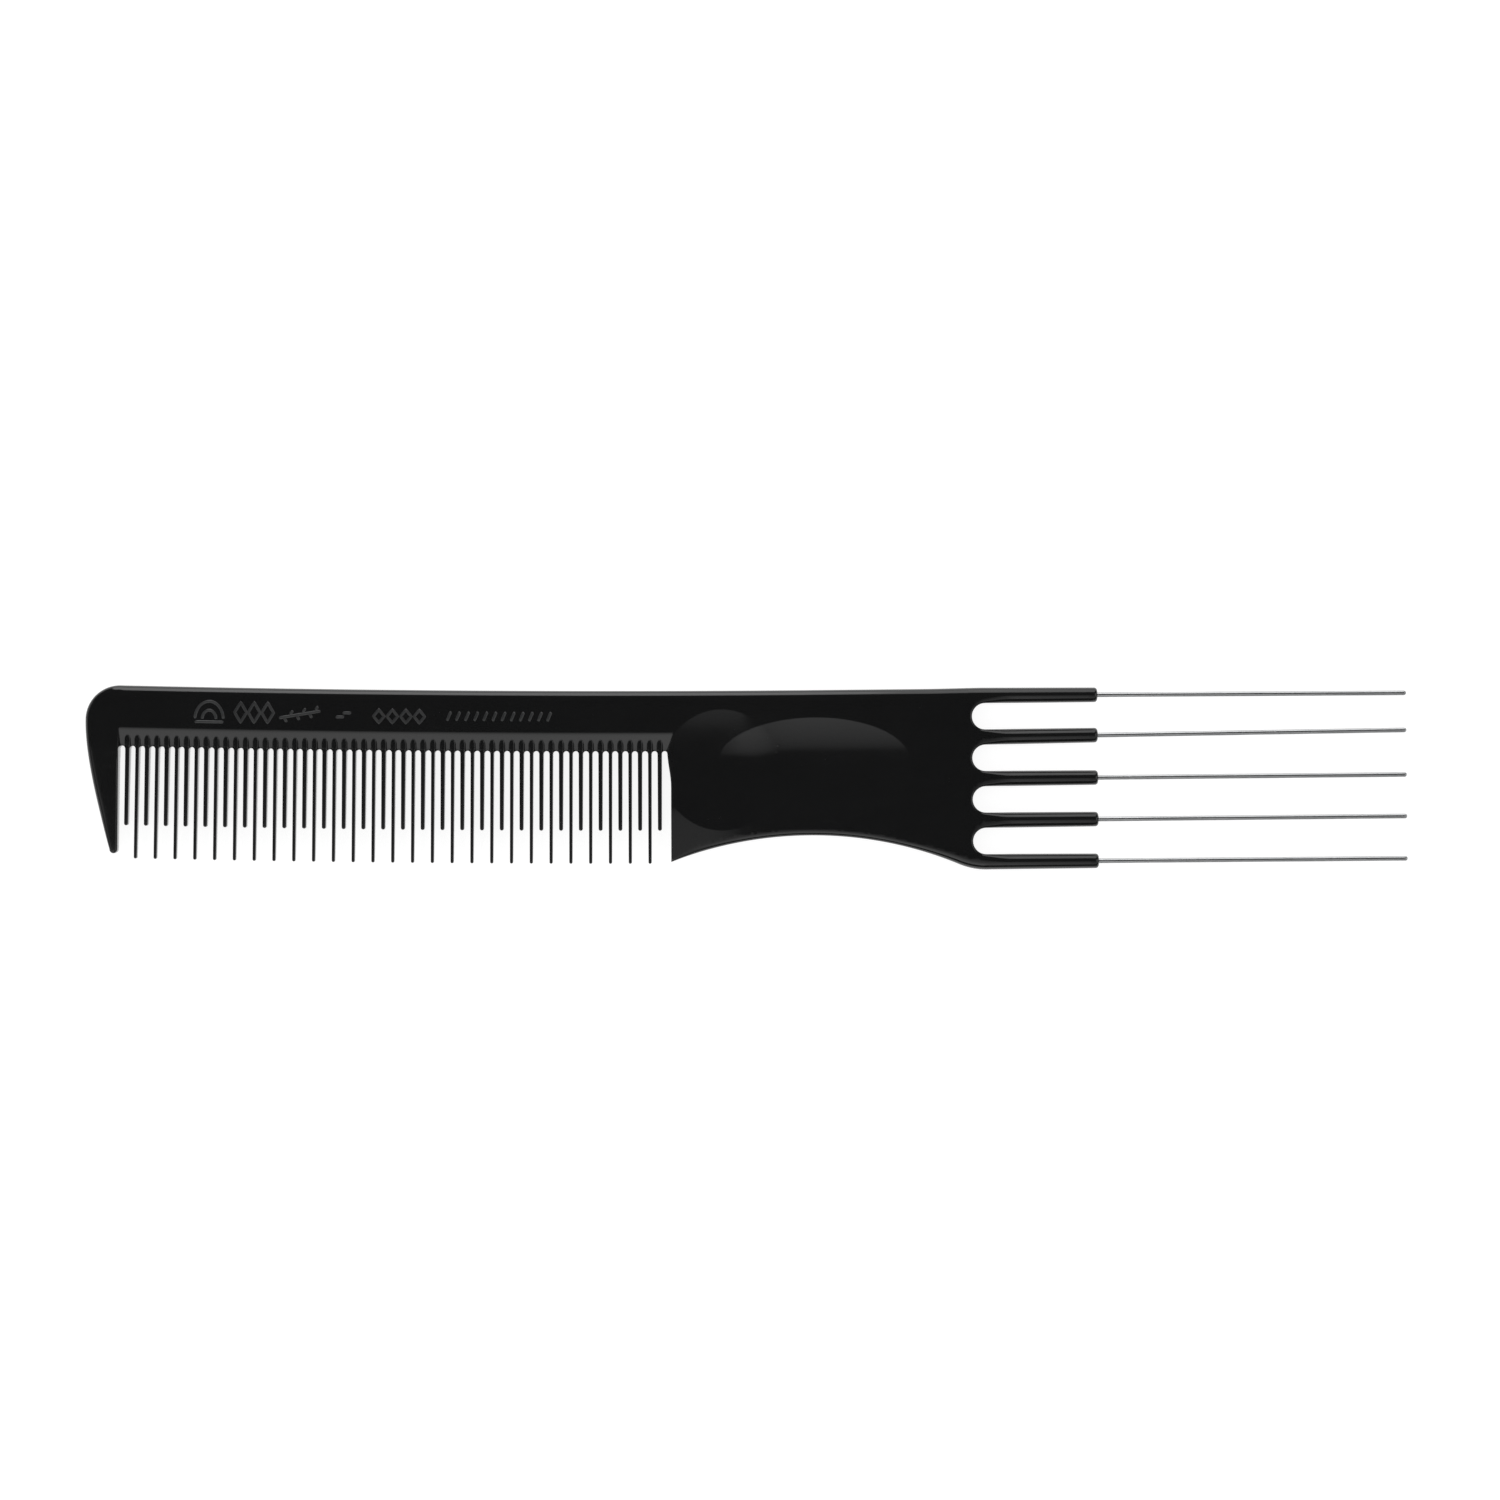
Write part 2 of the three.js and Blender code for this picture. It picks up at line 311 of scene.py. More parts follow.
class Edge:
    # The edge of the moulding, walked with the plastic on the left. Each point holds its place,
    # the radius its edge is rounded to and, on a prong, the way in and the prong's own radius.
    def __init__(self):
        self.points = []

    def put(self, points, rounding):
        for u, v in points:
            size = rounding(u, v) if callable(rounding) else rounding
            self.points.append((u, v, size, None, None))

    def arch(self, left, right, height, rounding, steps):
        half = (right - left) / 2
        self.put(arcPoints(left + half, height - half, half, 180, 0, steps), rounding)

    def prongSide(self, axis, side, outer=False):
        stations = prongStations()
        for u in stations[::-1] if side > 0 else stations:
            radius = float(prongRadius(u))
            size = radius - fork["flat"] if outer else prongEdge(u)
            self.points.append((u, axis + side * radius, size, (0, -side), radius))


def walkSpine(edge):
    edge.prongSide(prongAxes[0], 1, True)
    rise = prongAxes[0] + fork["root"][1] - comb["spineTop"]
    us = np.linspace(*comb["spineEnds"], detail["spine"])
    top = [(u, comb["spineTop"] + rise * float(ease(*comb["spineRise"], u))) for u in us]
    edge.put(top, graded(0, *comb["forkEase"], comb["spineRound"], prongRound))


def walkGuard(edge):
    waistRound, spineRound, tipRound = comb["guardRound"]
    overCorner, overBack, overInner = comb["guardEase"]
    u, v, radius = comb["guardCorner"]
    tipU, tipV, tipR = comb["guardTip"]
    corner = arcPoints(u, v, radius, 90, 180, detail["guardCorner"])
    edge.put(corner, graded(0, *overCorner, waistRound, spineRound))
    steps = detail["guardBack"]
    back = curvePoints((u - radius, v), comb["guardWaist"], (tipU - tipR, tipV), steps, steps - 1)
    edge.put(back, graded(1, *overBack, tipRound, waistRound))
    edge.put(arcPoints(tipU, tipV, tipR, 180, 360, detail["guardTip"]), tipRound)
    inner, gapTop = comb["guardInner"], comb["gapTop"]
    lean = (tipU + tipR - inner) / (tipV - gapTop)
    vs = np.linspace(tipV + 0.4, overInner[1], detail["guardInner"])
    side = [(inner + lean * (v - gapTop), v) for v in vs]
    edge.put(side, graded(1, *overInner, comb["guardInnerRound"], teeth["round"]))


def walkTeeth(edge):
    # Down one side of each tooth and up the other, with a round gap before it.
    tight, rootV = teeth["round"], teeth["rootV"]
    left = comb["guardInner"]
    for i in range(teeth["count"]):
        kind = i % 2
        middle = teeth["first"] + i * teeth["pitch"]
        tip = teeth["tip"][kind]
        rootHalf = float(toothShape(kind, rootV)[0])
        tipHalf = float(toothShape(kind, tip)[0])
        steps = detail["gap"] if i else detail["endGap"]
        edge.arch(left, middle - rootHalf, comb["gapTop"], tight, steps)
        stations = np.linspace(rootV - 0.3, tip + tipHalf, detail["toothSide"][kind])
        sides = [(v, float(toothShape(kind, v)[0])) for v in stations]
        edge.put([(middle - half, v) for v, half in sides], tight)
        edge.put(arcPoints(middle, tip + tipHalf, tipHalf, 180, 360, detail["toothTip"], 1, 1), tight)
        edge.put([(middle + half, v) for v, half in sides[::-1]], tight)
        left = middle + rootHalf
    return left


def handleSide(v):
    return comb["handleEdge"] - comb["edgeFlare"] * float(ease(*comb["edgeLean"], v))


def archHeight(u):
    across = math.sqrt(comb["archRadius"] ** 2 - (u - comb["archCentre"]) ** 2)
    return comb["archTop"] - comb["archRadius"] + across


def archRounding(u, v):
    corner, plain = comb["edgeRound"], comb["archRound"]
    handle = comb["handleEdge"]
    growing = (plain - corner) * float(ease(handle, handle + 5, u))
    return corner + growing + (prongRound - plain) * float(ease(*comb["forkEase"], u))


def walkHandle(edge, left):
    handle, tight = comb["handleEdge"], teeth["round"]
    edge.arch(left, handleSide(comb["pocketLow"]), comb["gapTop"], tight, detail["endGap"])
    cornerV = archHeight(handle)
    vs = np.linspace(comb["edgeTop"], cornerV + 0.7, detail["handleEdge"])
    side = [(handleSide(v), v) for v in vs]
    edge.put(side, graded(1, *comb["edgeEase"], comb["edgeRound"], tight))
    edge.put([(handle, cornerV)], comb["edgeRound"])
    us = np.linspace(handle + 0.7, comb["archEnd"], detail["arch"])
    edge.put([(u, archHeight(u)) for u in us], archRounding)


def walkFork(edge):
    slotRadius = fork["pitch"] / 2 - fork["root"][1]
    slotLine = fork["slotBottom"] + slotRadius
    start, waist = (comb["archEnd"], archHeight(comb["archEnd"])), (fork["slotBottom"], bottomPoint)
    steps = detail["forkCorner"]
    edge.put(curvePoints(start, waist, (slotLine, bottomPoint), steps, steps), archRounding)
    for i in range(pinCount - 1, -1, -1):
        edge.prongSide(prongAxes[i], -1, i == pinCount - 1)
        if i:
            edge.prongSide(prongAxes[i], 1)
            middle = (prongAxes[i] + prongAxes[i - 1]) / 2
            edge.put(arcPoints(slotLine, middle, slotRadius, -90, -270, detail["slot"]), prongEdge)


def makeOutline():
    # The first prong's top side opens the walk and its lower side closes it: they share the tip face.
    edge = Edge()
    walkSpine(edge)
    walkGuard(edge)
    walkHandle(edge, walkTeeth(edge))
    walkFork(edge)
    return edge.points


def inwardNormals(points):
    ahead = np.roll(points, -1, axis=0) - points
    ahead /= np.maximum(np.linalg.norm(ahead, axis=1), 1e-9)[:, None]
    normal = np.stack([-ahead[:, 1], ahead[:, 0]], 1)
    before = np.roll(normal, 1, axis=0)
    both = normal + before
    both /= np.maximum(np.linalg.norm(both, axis=1), 1e-9)[:, None]
    return both / np.maximum((both * normal).sum(1), 0.5)[:, None]


def insideLoop(points, loop):
    inside = np.zeros(len(points), bool)
    x, y = points[:, 0], points[:, 1]
    for (x0, y0), (x1, y1) in zip(loop, np.roll(loop, -1, axis=0)):
        if y0 == y1:
            continue
        crosses = (y0 > y) != (y1 > y)
        inside ^= crosses & (x < (x1 - x0) * (y - y0) / (y1 - y0) + x0)
    return inside


def treeOf(points):
    tree = kdtree.KDTree(len(points))
    for i, (u, v) in enumerate(points):
        tree.insert((u, v, 0), i)
    tree.balance()
    return tree


def clearOf(loop, tree, candidates, margin):
    # Which of the candidates lie inside the loop and keep their margin from its points.
    array = np.array(candidates, float)
    near = np.array([tree.find((u, v, 0))[2] for u, v in array])
    return insideLoop(array, loop) & (near > margin)


def faceLines():
    # Lines that the face's mesh follows, so that its creases stay crisp.
    lines = []
    top, low, inner = comb["flankTop"], comb["gapTop"] + 0.1, comb["guardInner"]
    us = np.arange(inner + 0.1, pocketEnd(top) - 0.05, 0.55)
    for off in detail["flankLines"]:
        lines.append([(u, top + off) for u in us])
    vs = np.linspace(low, top - 0.1, 16)
    for share in detail["pocketLines"]:
        across = share * (0.03 + comb["flankSlope"] / comb["pocketSlope"] * (top - vs))
        lines.append([(inner + w, v) for w, v in zip(across, vs)])
        lines.append([(float(pocketEnd(v)) - w, v) for w, v in zip(across, vs)])
    turns = np.linspace(0, 2 * math.pi, detail["bowlRim"])
    for u0, v0, a, b, *_ in bowls.values():
        for grow in detail["bowlLines"]:
            lines.append([(u0 + a * grow * math.cos(t), v0 + b * grow * math.sin(t)) for t in turns])
    vs = np.linspace(low, detail["ribTop"], 19)
    for i in range(teeth["count"]):
        middle = teeth["first"] + i * teeth["pitch"]
        halfWidth = toothShape(i % 2, vs)[0]
        for share, off in detail["ribLines"]:
            across = halfWidth * share + off
            for side in (-1, 1) if share else (1,):
                lines.append([(middle + side * w, v) for w, v in zip(across, vs)])
    return lines


def gridPoints(u0, u1, v0, v1, step):
    points = []
    for row, v in enumerate(np.arange(v0, v1, step * 0.87)):
        points += [(u + (row % 2) * step / 2, v) for u in np.arange(u0, u1, step)]
    return points


def innerPoints(loop):
    # Points inside the face's loop, and the links between neighbours on a crease line.
    tree = treeOf(loop)
    extra, links = [], []
    lines = faceLines()
    keep = clearOf(loop, tree, [point for line in lines for point in line], detail["lineClear"])
    ends = np.cumsum([len(line) for line in lines])[:-1]
    for line, kept in zip(lines, np.split(keep, ends)):
        previous = None
        for point, good in zip(line, kept):
            if not good:
                previous = None
                continue
            extra.append(point)
            if previous is not None:
                links.append((previous, len(extra) - 1))
            previous = len(extra) - 1
    lineTree = treeOf(extra)
    grid = [point for field in faceGrids.values() for point in gridPoints(*field)]
    keep = clearOf(loop, tree, grid, detail["gridClear"])
    for point, kept in zip(grid, keep):
        if kept and lineTree.find((point[0], point[1], 0))[2] > detail["gridFromLines"]:
            extra.append(point)
    return extra, links


def edgeRings(edge):
    # The rounded edge as rows of points, from the parting plane round onto the face.
    points = np.array([(p[0], p[1]) for p in edge])
    rounding = np.array([p[2] for p in edge])
    ownHeight = np.array([p[4] or 0 for p in edge])
    onProng = np.array([p[3] is not None for p in edge])
    normal = inwardNormals(points)
    for i, p in enumerate(edge):
        if p[3] is not None:
            normal[i] = p[3]
    inset = comb["inset"] * ease(teeth["round"], comb["insetFull"], rounding)
    points = points + normal * inset[:, None]
    full = np.where(points[:, 0] > detail["forkFrom"], detail["ringTurn"][1], detail["ringTurn"][0])
    inside = points + normal * detail["probe"]
    base = faceHeight(inside[:, 0], inside[:, 1])
    rounding = np.where(onProng, rounding, np.minimum(rounding, base - detail["leastRim"][0]))
    deepest = points + normal * (rounding * (1 - np.cos(np.radians(full))))[:, None]
    height = np.where(onProng, ownHeight, faceHeight(deepest[:, 0], deepest[:, 1]))
    rounding = np.minimum(rounding, height - detail["leastRim"][1])
    layers, heights = [], []
    for k in range(detail["rings"] + 1):
        turn = np.radians(full * k / detail["rings"])
        layers.append(points + normal * (rounding * (1 - np.cos(turn)))[:, None])
        heights.append(height - rounding + rounding * np.sin(turn))
    witness = points - normal * comb["witness"]
    return layers, heights, witness


def combMesh():
    layers, heights, witness = edgeRings(makeOutline())
    loop, rings = layers[-1], detail["rings"]
    count = len(loop)
    extra, links = innerPoints(loop)
    flat = [tuple(p) for p in loop] + [tuple(p) for p in extra]
    links = [(a + count, b + count) for a, b in links]
    made = delaunay_2d_cdt(flat, links, [list(range(count))], 1, 1e-5)
    outVerts, outFaces, origins = made[0], made[2], made[3]
    us = np.array([p[0] for p in outVerts])
    vs = np.array([p[1] for p in outVerts])
    zs = faceHeight(us, vs)
    ringIds = {}
    for i, source in enumerate(origins):
        fromLoop = [s for s in source if s < count]
        if fromLoop:
            ringIds[i] = fromLoop[0]

    # One numbering: the rings of the upper face, its inner points, the same below, and the parting line.
    inner = [i for i in range(len(outVerts)) if i not in ringIds]
    innerIds = {i: n for n, i in enumerate(inner)}
    perFace = count * (rings + 1) + len(inner)
    faceU = np.concatenate([layer[:, 0] for layer in layers] + [us[inner]])
    faceV = np.concatenate([layer[:, 1] for layer in layers] + [vs[inner]])
    faceZ = np.concatenate(heights + [zs[inner]])
    u = np.concatenate([faceU, faceU, witness[:, 0]])
    v = np.concatenate([faceV, faceV, witness[:, 1]])
    z = np.concatenate([faceZ, -faceZ, np.zeros(count)])
    x, y = place(u, v)

    def numberOf(i):
        return rings * count + ringIds[i] if i in ringIds else (rings + 1) * count + innerIds[i]

    faces = []
    for i in range(count):
        j = (i + 1) % count
        for k in range(rings):
            a, b, c, d = k * count + i, k * count + j, (k + 1) * count + j, (k + 1) * count + i
            faces.append((a, b, c, d))
            faces.append((d + perFace, c + perFace, b + perFace, a + perFace))
        mid, midNext = 2 * perFace + i, 2 * perFace + j
        faces.append((mid, midNext, j, i))
        faces.append((i + perFace, j + perFace, midNext, mid))
    for face in outFaces:
        ids = [numberOf(i) for i in face]
        a, b, c = (np.array((u[n], v[n])) for n in ids[:3])
        if np.cross(b - a, c - b) < 0:
            ids.reverse()
        faces.append(tuple(ids))
        faces.append(tuple(n + perFace for n in reversed(ids)))
    verts = np.stack([x * mm, y * mm, (z + midPlane) * mm], 1)
    print("comb moulding:", count, "edge points,", len(verts), "points,", len(faces), "faces")
    return verts, faces


def addPiece(name, verts, faces, finish, slot, nodes):
    mesh = bpy.data.meshes.new(name)
    mesh.from_pydata([tuple(map(float, p)) for p in verts], [], faces)
    mesh.validate()
    mesh.materials.append(finish)
    mesh.shade_smooth()
    piece = bpy.data.objects.new(name, mesh)
    bpy.context.scene.collection.objects.link(piece)
    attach(piece, "root")
    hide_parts(*nodes)


class Value:
    # Wraps a node socket, so that shader sums read as plain expressions.
    def __init__(self, look, socket):
        self.look, self.socket = look, socket

    def maths(self, operation, a, b):
        return self.look.add("ShaderNodeMath", {"operation": operation}, {0: a, 1: b})

    def __add__(self, other):
        return self.maths("ADD", self, other)

    def __radd__(self, other):
        return self.maths("ADD", other, self)

    def __sub__(self, other):
        return self.maths("SUBTRACT", self, other)

    def __rsub__(self, other):
        return self.maths("SUBTRACT", other, self)

    def __mul__(self, other):
        return self.maths("MULTIPLY", self, other)

    def __rmul__(self, other):
        return self.maths("MULTIPLY", other, self)

    def __pow__(self, other):
        return self.maths("POWER", self, other)


class Look:
    def __init__(self, name):
        self.material = bpy.data.materials.new(name)
        self.material.use_nodes = True
        self.tree = self.material.node_tree
        self.surface = self.tree.nodes["Principled BSDF"]
        self.place = self.add("ShaderNodeTexCoord", out="Object")

    def add(self, kind, settings=None, sockets=None, out=0):
        node = self.tree.nodes.new(kind)
        for key, value in (settings or {}).items():
            setattr(node, key, value)
        for key, value in (sockets or {}).items():
            self.feed(self.findSocket(node.inputs, key), value)
        return Value(self, self.findSocket(node.outputs, out))

    def findSocket(self, sockets, key):
        if isinstance(key, int):
            return sockets[key]
        for socket in sockets:
            if socket.identifier == key or socket.name == key:
                return socket
        raise KeyError(key)

    def feed(self, socket, value):
        if isinstance(value, Value):
            self.tree.links.new(value.socket, socket)
        else:
            socket.default_value = value

    def set(self, **inputs):
        for key, value in inputs.items():
            self.feed(self.surface.inputs[key.replace("_", " ")], value)

    def noise(self, scale, fine=4, stretch=(1, 1, 1), rough=0.55):
        where = self.add("ShaderNodeVectorMath", {"operation": "MULTIPLY"}, {0: self.place, 1: stretch})
        return self.add("ShaderNodeTexNoise", None,
                        {"Vector": where, "Scale": scale, "Detail": fine, "Roughness": rough})

    def ramp(self, value, low, high, start=0.0, end=1.0):
        limits = {"From Min": low, "From Max": high, "To Min": start, "To Max": end}
        return self.add("ShaderNodeMapRange", {"interpolation_type": "SMOOTHSTEP"},
                        {"Value": value, **limits})

    def blend(self, share, a, b):
        return self.add("ShaderNodeMix", {"data_type": "RGBA"},
                        {"Factor_Float": share, "A_Color": a, "B_Color": b}, "Result_Color")

    def bump(self, height, strength, distance):
        return self.add("ShaderNodeBump", None,
                        {"Height": height, "Strength": strength, "Distance": distance})


def grey(level, tint=0.0):
    return (level * (1 - tint), level, level * (1 + tint), 1)


polished = {
    "dark": 0.0074,
    "light": 0.0104,
    "tint": 0.02,
    "roughness": 0.085,
    "cloudy": 0.03,  # added roughness where the polish is cloudy
    "scuff": 0.1,
    "dust": 0.02,
    "dustRough": 0.3,
    "cloudScale": 140,
    "flowScale": 500,
    "scuffScale": 900,
    "speckScale": 1600,
    "speckPatch": 260,
    "waveScale": 230,
    "bump": (0.25, 0.00002),  # strength and depth
    "ior": 1.5,
}

# The raised ornament is greyer and duller than the polished face.
greyerDuller = {**polished, "dark": 0.012, "light": 0.045, "roughness": 0.34, "scuff": 0.14, "dust": 0.07}


def plasticLook(name, plastic):
    look = Look(name)
    cloud = look.noise(plastic["cloudScale"], 5)
    flow = look.noise(plastic["flowScale"], 3, (0.12, 1, 1))
    scuff = look.ramp(look.noise(plastic["scuffScale"], 6, (0.25, 1, 1), 0.7), 0.56, 0.74)
    cells = {"Vector": look.place, "Scale": plastic["speckScale"]}
    speck = look.add("ShaderNodeTexVoronoi", {"feature": "F1"}, cells, "Distance")
    patch = look.ramp(look.noise(plastic["speckPatch"], 2), 0.6, 0.7)
    speck = look.ramp(speck, 0.05, 0.11, 1.0, 0.0) * patch
    dark, light = grey(plastic["dark"], plastic["tint"]), grey(plastic["light"], plastic["tint"])
    base = look.blend(cloud * 0.6 + flow * 0.4, dark, light)
    look.set(Base_Color=look.blend(speck * 0.25, base, grey(plastic["dust"])))
    rough = plastic["roughness"] + look.ramp(cloud, 0.35, 0.7) * plastic["cloudy"]
    look.set(Roughness=rough + scuff * plastic["scuff"] + speck * plastic["dustRough"])
    height = look.noise(plastic["waveScale"], 3) * 0.7 + flow * 0.2 + scuff * -0.1
    look.set(Normal=look.bump(height, *plastic["bump"]), IOR=plastic["ior"])
    return look.material


steel = {
    "light": 0.55,
    "dark": 0.37,
    "roughness": 0.22,
    "drawnRough": 0.12,
    "cloudy": 0.08,
    "drawnScale": 9000,
    "cloudScale": 300,
    "bump": (0.2, 0.00001),  # strength and depth
}


def steelLook():
    look = Look("drawnSteelWire")
    drawn = look.noise(steel["drawnScale"], 3, (0.01, 1, 1), 0.6)
    cloud = look.noise(steel["cloudScale"], 4)
    share = look.ramp(drawn, 0.35, 0.68) * 0.5 + cloud * 0.3
    look.set(Base_Color=look.blend(share, grey(steel["light"], 0.01), grey(steel["dark"], 0.02)))
    rough = steel["roughness"] + drawn * steel["drawnRough"]
    look.set(Roughness=rough + look.ramp(cloud, 0.5, 0.75) * steel["cloudy"])
    look.set(Normal=look.bump(drawn * 0.6 + cloud * 0.2, *steel["bump"]), Metallic=1)
    return look.material


pin = {
    "radius": 0.4,
    "buriedFrom": 42,
    "sides": 28,
    "rows": 26,
    "dome": (15, 30, 45, 60, 75, 86),  # degrees round the tip
}


def pinMesh(number):
    # A wire from inside its prong to a domed tip at the CAD pin's own end.
    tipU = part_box(f"lift_pin_{number + 1}")[1].x / mm + shiftX
    radius, sides, start = pin["radius"], pin["sides"], pin["buriedFrom"]
    rows = [(start, radius * 0.999)]
    rows += [(u, radius) for u in np.linspace(start + 0.1, tipU - radius, pin["rows"])]
    for turn in np.radians(pin["dome"]):
        rows.append((tipU - radius + radius * math.sin(turn), radius * math.cos(turn)))
    verts, faces = [], []
    for u, r in rows:
        x, y = (float(value) for value in place(u, prongAxes[number]))
        for s in range(sides):
            turn = 2 * math.pi * s / sides
            verts.append((x * mm, (y + r * math.cos(turn)) * mm, (midPlane + r * math.sin(turn)) * mm))
    for k in range(len(rows) - 1):
        for s in range(sides):
            a, b = k * sides + s, k * sides + (s + 1) % sides
            faces.append((a, b, b + sides, a + sides))
    faces.append(tuple(reversed(range(sides))))
    last = (len(rows) - 1) * sides
    faces.append(tuple(last + s for s in range(sides)))
    return verts, faces


# Plain raised ornament on the spine: a shell, lozenges, a sprig and hatching, with no letters or signs.
ornament = {
    "stroke": 0.5,
    "steepest": 42,  # degrees at the foot of a ridge
    "sunk": 0.05,
    "skirt": 1.05,  # the sunk foot's width, against the ridge's
    "endTaper": 0.55,
    "step": 0.3,  # between the points along a stroke
    "shell": (-85.4, 8.6),
    "shellArcs": ((2.25, 2.85), (1.1, 1.45)),
    "shellFoot": ((-87.8, 8.2), (-83.0, 8.2)),
    "tall": (3, 2.15, -80.4, 9.8, 0.95, 1.6),  # how many, how far apart, first middle, half sizes
    "small": (4, 2.15, -58.4, 9.5, 0.85, 1.05),
    "stem": ((-74.4, 9.0), (-67.6, 10.2)),
    "leaves": (6, -73.6, 9.35, 0.18),  # how many, first foot, rise from one to the next
    "leafReach": (0.6, -1.1, 0.8),  # along, and across below or above the stem
    "dashes": (((-65.4, 9.3), (-63.8, 9.3)), ((-64.3, 9.95), (-62.7, 9.95))),
    "hatching": (12, 1.45, -47.6, 8.75, 0.7, 1.7),  # how many, how far apart, first foot, reach
}


def strokeMesh(points, closed, side, verts, faces):
    # A ridge with sloped sides along a line of points, sunk slightly into the face.
    points = np.array(points, float)
    if closed:
        ahead = np.roll(points, -1, axis=0) - np.roll(points, 1, axis=0)
    else:
        ahead = np.gradient(points, axis=0)
    ahead /= np.maximum(np.linalg.norm(ahead, axis=1), 1e-9)[:, None]
    across = np.stack([-ahead[:, 1], ahead[:, 0]], 1)
    half, skirt = ornament["stroke"] / 2, ornament["skirt"]
    steepest = math.radians(ornament["steepest"])
    crown = half / math.sin(steepest)
    turns = [steepest * k / 4 for k in range(-4, 5)]
    foot = math.cos(steepest)
    ridge = [(math.sin(t) / math.sin(steepest), crown * (math.cos(t) - foot)) for t in turns]
    profile = [(-skirt, -ornament["sunk"])] + ridge + [(skirt, -ornament["sunk"])]
    start, count, width = len(verts), len(points), len(profile)
    for i, (point, normal) in enumerate(zip(points, across)):
        end = not closed and i in (0, count - 1)
        for offset, lift in profile:
            u, v = point + normal * offset * half * (ornament["endTaper"] if end else 1)
            lift = -ornament["sunk"] if end and lift > 0 else lift
            x, y = (float(value) for value in place(u, v))
            z = side * (float(faceHeight(u, v)) + lift)
            verts.append((x * mm, y * mm, (midPlane + z) * mm))
    for i in range(count if closed else count - 1):
        here, after = start + i * width, start + (i + 1) % count * width
        for k in range(width):
            beside = (k + 1) % width
            quad = (here + k, here + beside, after + beside, after + k)
            faces.append(quad[::-1] if side > 0 else quad)
    if not closed:
        near = tuple(start + k for k in range(width))
        far = tuple(start + (count - 1) * width + k for k in range(width))
        faces.append(near if side > 0 else near[::-1])
        faces.append(far[::-1] if side > 0 else far)


def arcLine(u, v, a, b):
    turns = np.radians(np.linspace(0, 180, 29))
    return [(u + a * math.cos(t), v + b * math.sin(t)) for t in turns]


def pathLine(*corners):
    points = [corners[0]]
    for (u0, v0), (u1, v1) in zip(corners, corners[1:]):
        steps = max(1, round(math.hypot(u1 - u0, v1 - v0) / ornament["step"]))
        points += [(u0 + (u1 - u0) * i / steps, v0 + (v1 - v0) * i / steps) for i in range(1, steps + 1)]
    return points


def lozenges(count, pitch, first, v, a, b):
    shapes = []
    for u in [first + i * pitch for i in range(count)]:
        shapes.append(pathLine((u + a, v), (u, v + b), (u - a, v), (u, v - b), (u + a, v))[:-1])
    return shapes


def ornamentLines():
    # Each line with whether it closes on itself.
    shell = [arcLine(*ornament["shell"], a, b) for a, b in ornament["shellArcs"]]
    shell.append(pathLine(*ornament["shellFoot"]))
    sprig = [pathLine(*ornament["stem"])]
    count, footU, footV, rise = ornament["leaves"]
    along, below, above = ornament["leafReach"]
    for i in range(count):
        u, v = footU + i, footV + i * rise
        sprig.append(pathLine((u, v), (u + along, v + (above if i % 2 else below))))
    dashes = [pathLine(*dash) for dash in ornament["dashes"]]
    count, pitch, first, foot, along, across = ornament["hatching"]
    feet = [first + i * pitch for i in range(count)]
    hatching = [pathLine((u, foot), (u + along, foot + across)) for u in feet]
    tall, small = lozenges(*ornament["tall"]), lozenges(*ornament["small"])
    groups = ((shell, False), (tall, True), (sprig + dashes, False), (small, True), (hatching, False))
    return [(line, closed) for lines, closed in groups for line in lines]


def ornamentMesh():
    verts, faces = [], []
    for side in (1, -1):
        for points, closed in ornamentLines():
            strokeMesh(points, closed, side, verts, faces)
    print("spine ornament:", len(faces), "faces")
    return verts, faces


moulded = plasticLook("polishedBlackMoulding", polished)
addPiece("combMoulding", *combMesh(), moulded, "body_plastic", ["comb_body"])
greyerDullerLook = plasticLook("greyerDullerMoulding", greyerDuller)
addPiece("spineOrnament", *ornamentMesh(), greyerDullerLook, "body_plastic", ["comb_body"])
drawnSteel = steelLook()
for number in range(pinCount):
    node = f"lift_pin_{number + 1}"
    addPiece(f"liftPin{number + 1}", *pinMesh(number), drawnSteel, "pin_steel", [node])
print("lift pins:", pinCount)

# Floor, lights and camera
studio = {
    "floorHalf": 8,
    "floorLevel": 0.3,
    "floorGlow": 0.88,  # the comb lies on a light table
    "grainScale": 60,
    "fibreScale": 900,
    "world": 0.72,
    "lensMm": 120,
    "sensorMm": 36,
    "frameWidthMm": 238.6,
    "look": (0.54, 4.05),
    "turn": -0.56,
}


def floorLook():
    look = Look("palePaper")
    grain = look.noise(studio["grainScale"], 6, (1, 1, 1), 0.6)
    fibre = look.noise(studio["fibreScale"], 3, (1, 0.3, 1))
    share = grain * 0.7 + fibre * 0.3
    level = studio["floorLevel"]
    look.set(Base_Color=look.blend(share, grey(level * 0.985), grey(level)))
    look.set(Roughness=0.7 + grain * 0.1)
    look.set(Normal=look.bump(fibre, 0.05, 0.0001))
    look.set(Emission_Color=look.blend(share, grey(0.985), grey(1)))
    look.set(Emission_Strength=studio["floorGlow"], Specular_IOR_Level=0.1)
    return look.material


def addSheet(name, halfWidth, halfDepth, finish):
    # One flat face for the floor or a lit card, which isn't part of the object.
    w, d = halfWidth, halfDepth
    mesh = bpy.data.meshes.new(name)
    mesh.from_pydata([(-w, -d, 0), (w, -d, 0), (w, d, 0), (-w, d, 0)], [], [(0, 1, 2, 3)])
    mesh.materials.append(finish)
    sheet = bpy.data.objects.new(name, mesh)
    bpy.context.scene.collection.objects.link(sheet)
    return sheet


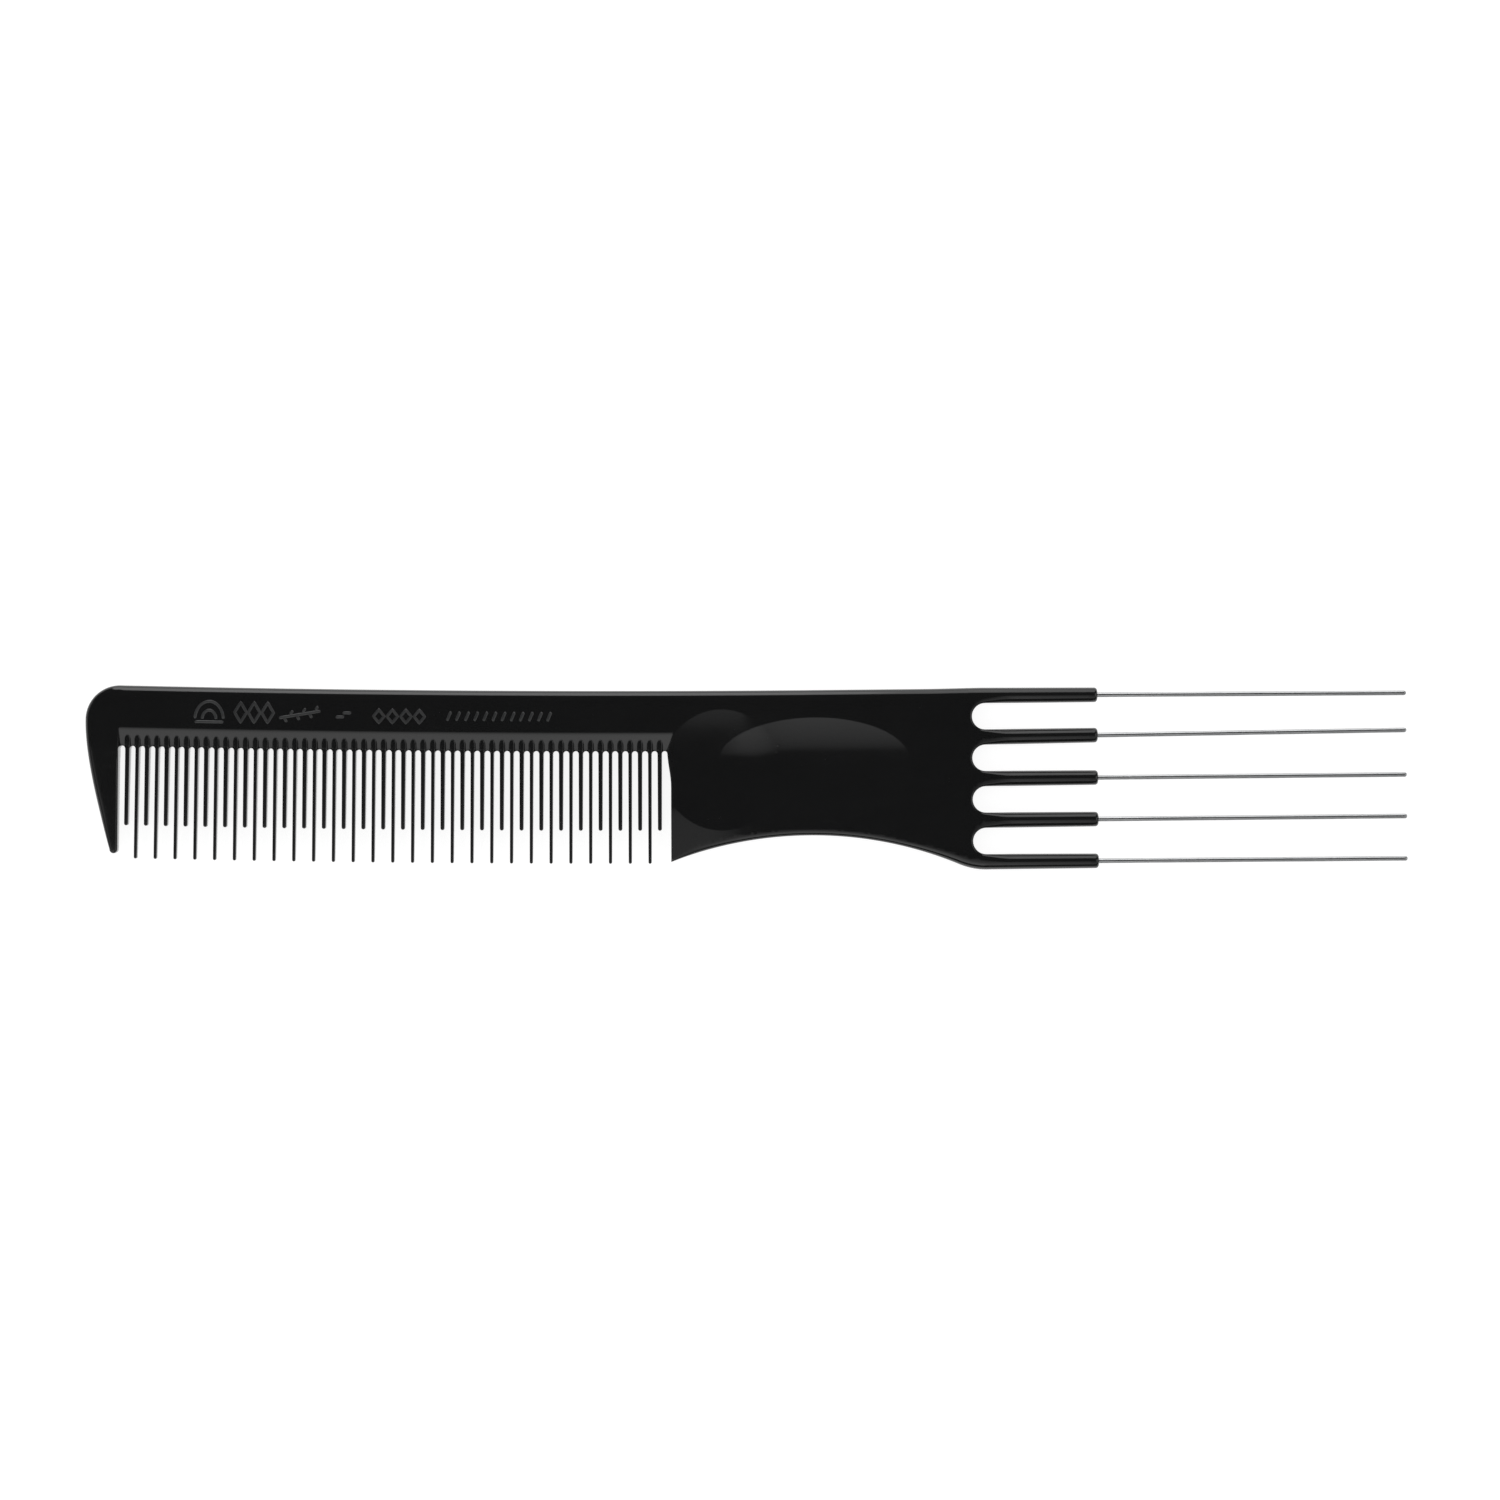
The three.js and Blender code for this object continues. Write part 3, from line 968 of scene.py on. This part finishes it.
# Lit cards. A card may dim towards its upper edge, to the share "dimTo", and drop to the share
# "fallTo" across its width, over the stretch "fall".
softboxes = {
    "nearSoftbox": {
        "middle": (0, -1.015, 1.2),
        "size": (3.0, 1.8),
        "turn": (0, 0, 0),
        "strength": 1.68,
        "dimTo": 0.06,
        "fall": (0.06, 0.2),
        "fallTo": 0.4,
    },
    "farSoftbox": {
        "middle": (0.06, 0.95, 0.53),
        "size": (0.88, 1.04),
        "turn": (80, 0, 0),
        "strength": 2.8,
        "fall": (-0.06, 0.08),
        "fallTo": 0.6,
    },
    "sideSoftbox": {
        "middle": (1.0, 0, 0.9),
        "size": (1.2, 1.0),
        "turn": (50, 0, 90),
        "strength": 1.0,
    },
    "endSoftbox": {
        "middle": (-1.4, 0, 0.32),
        "size": (1.6, 0.5),
        "turn": (80, 0, -90),
        "strength": 0.6,
    },
}


def addSoftbox(name, box):
    look = Look(name + "Light")
    width, depth = box["size"]
    across = look.add("ShaderNodeSeparateXYZ", None, {"Vector": look.place}, "X")
    along = look.add("ShaderNodeSeparateXYZ", None, {"Vector": look.place}, "Y")
    dimTo = box.get("dimTo", 1.0)
    level = (0.5 - along * (1 / depth)) ** 0.5 * (1 - dimTo) + dimTo
    if "fall" in box:
        level = level * look.ramp(across, *box["fall"], 1.0, box["fallTo"])
    look.set(Base_Color=grey(0), Emission_Color=look.blend(level, grey(0), grey(1)))
    look.set(Emission_Strength=box["strength"], Specular_IOR_Level=0)
    card = addSheet(name, width / 2, depth / 2, look.material)
    card.location = box["middle"]
    card.rotation_euler = [math.radians(a) for a in box["turn"]]


addSheet("floor", studio["floorHalf"], studio["floorHalf"], floorLook())
for name, box in softboxes.items():
    addSoftbox(name, box)

world = bpy.data.worlds.new("softRoom")
world.use_nodes = True
world.node_tree.nodes["Background"].inputs["Color"].default_value = (1, 1, 1, 1)
world.node_tree.nodes["Background"].inputs["Strength"].default_value = studio["world"]
world.cycles_visibility.glossy = False
bpy.context.scene.world = world

camera = bpy.data.cameras.new("camera")
camera.lens = studio["lensMm"]
camera.sensor_width = studio["sensorMm"]
view = bpy.data.objects.new("camera", camera)
distance = studio["frameWidthMm"] * mm * camera.lens / camera.sensor_width
view.location = (studio["look"][0] * mm, studio["look"][1] * mm, bodyHigh.z / 2 + distance)
view.rotation_euler = (0, 0, math.radians(studio["turn"]))
bpy.context.scene.collection.objects.link(view)
bpy.context.scene.camera = view
bpy.context.scene.view_settings.view_transform = "Standard"
print("studio made")
